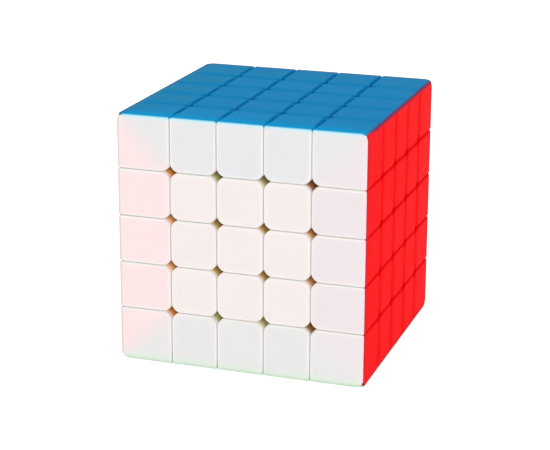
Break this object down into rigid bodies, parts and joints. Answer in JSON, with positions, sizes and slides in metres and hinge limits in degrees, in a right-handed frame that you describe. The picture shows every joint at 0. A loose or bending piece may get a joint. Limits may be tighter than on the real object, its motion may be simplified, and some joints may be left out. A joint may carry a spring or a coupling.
{
  "type": "twisty puzzle cube",
  "caption": "Stickerless twisty puzzle cube: coloured caps and shells on hooked feet round a spring-tensioned core, in layers that each turn freely.",
  "frame": {"origin": "centre of the core, which is the centre of the cube", "axes": "+X is the red right face, +Y the yellow back face, +Z the blue upper face; the white front face looks along -Y"},
  "size_m": [0.062, 0.062, 0.062],
  "materials": {
    "white_plastic": "satin-gloss, slightly translucent moulded plastic",
    "blue_plastic": "satin-gloss moulded plastic",
    "red_plastic": "satin-gloss moulded plastic",
    "yellow_plastic": "satin-gloss moulded plastic",
    "orange_plastic": "satin-gloss moulded plastic",
    "green_plastic": "satin-gloss moulded plastic",
    "mechanism_plastic": "self-lubricating moulded plastic, satin",
    "screw_steel": "zinc-plated",
    "spring_steel": "drawn wire, bright"
  },
  "bodies": {
    "core_and_middle_slice": {"back_centre_cap": "yellow_plastic", "core_spider": "mechanism_plastic", "front_centre_cap": "white_plastic", "left_centre_cap": "orange_plastic", "middle_slice_back_centre_caps": "yellow_plastic", "middle_slice_back_edge_shells": "yellow_plastic", "middle_slice_feet": "mechanism_plastic", "middle_slice_front_centre_caps": "white_plastic", "middle_slice_front_edge_shells": "white_plastic", "middle_slice_left_centre_caps": "orange_plastic", "middle_slice_left_edge_shells": "orange_plastic", "middle_slice_right_centre_caps": "red_plastic", "middle_slice_right_edge_shells": "red_plastic", "right_centre_cap": "red_plastic", "side_centre_bases": "mechanism_plastic", "spring_washers": "screw_steel", "tension_screws": "screw_steel", "tension_springs": "spring_steel"},
    "upper_slice": {"upper_slice_back_centre_caps": "yellow_plastic", "upper_slice_back_edge_shells": "yellow_plastic", "upper_slice_feet": "mechanism_plastic", "upper_slice_front_centre_caps": "white_plastic", "upper_slice_front_edge_shells": "white_plastic", "upper_slice_left_centre_caps": "orange_plastic", "upper_slice_left_edge_shells": "orange_plastic", "upper_slice_right_centre_caps": "red_plastic", "upper_slice_right_edge_shells": "red_plastic"},
    "upper_face_layer": {"upper_face_back_side_shells": "yellow_plastic", "upper_face_centre_base": "mechanism_plastic", "upper_face_centre_cap": "blue_plastic", "upper_face_corner_shells": "blue_plastic", "upper_face_feet": "mechanism_plastic", "upper_face_front_side_shells": "white_plastic", "upper_face_left_side_shells": "orange_plastic", "upper_face_middle_edge_shells": "blue_plastic", "upper_face_right_side_shells": "red_plastic", "upper_face_t_centre_caps": "blue_plastic", "upper_face_wing_edge_shells": "blue_plastic", "upper_face_x_centre_caps": "blue_plastic"},
    "lower_slice": {"lower_slice_back_centre_caps": "yellow_plastic", "lower_slice_back_edge_shells": "yellow_plastic", "lower_slice_feet": "mechanism_plastic", "lower_slice_front_centre_caps": "white_plastic", "lower_slice_front_edge_shells": "white_plastic", "lower_slice_left_centre_caps": "orange_plastic", "lower_slice_left_edge_shells": "orange_plastic", "lower_slice_right_centre_caps": "red_plastic", "lower_slice_right_edge_shells": "red_plastic"},
    "lower_face_layer": {"lower_face_back_side_shells": "yellow_plastic", "lower_face_centre_base": "mechanism_plastic", "lower_face_centre_cap": "green_plastic", "lower_face_corner_shells": "green_plastic", "lower_face_feet": "mechanism_plastic", "lower_face_front_side_shells": "white_plastic", "lower_face_left_side_shells": "orange_plastic", "lower_face_middle_edge_shells": "green_plastic", "lower_face_right_side_shells": "red_plastic", "lower_face_t_centre_caps": "green_plastic", "lower_face_wing_edge_shells": "green_plastic", "lower_face_x_centre_caps": "green_plastic"}
  },
  "joints": [
    {"name": "upper_slice_turn", "type": "hinge", "parent": "core_and_middle_slice", "child": "upper_slice", "pos_m": [0, 0, 0], "axis": [0, 0, 1], "continuous": true},
    {"name": "upper_face_turn", "type": "hinge", "parent": "core_and_middle_slice", "child": "upper_face_layer", "pos_m": [0, 0, 0], "axis": [0, 0, 1], "continuous": true},
    {"name": "lower_slice_turn", "type": "hinge", "parent": "core_and_middle_slice", "child": "lower_slice", "pos_m": [0, 0, 0], "axis": [0, 0, 1], "continuous": true},
    {"name": "lower_face_turn", "type": "hinge", "parent": "core_and_middle_slice", "child": "lower_face_layer", "pos_m": [0, 0, 0], "axis": [0, 0, 1], "continuous": true}
  ]
}
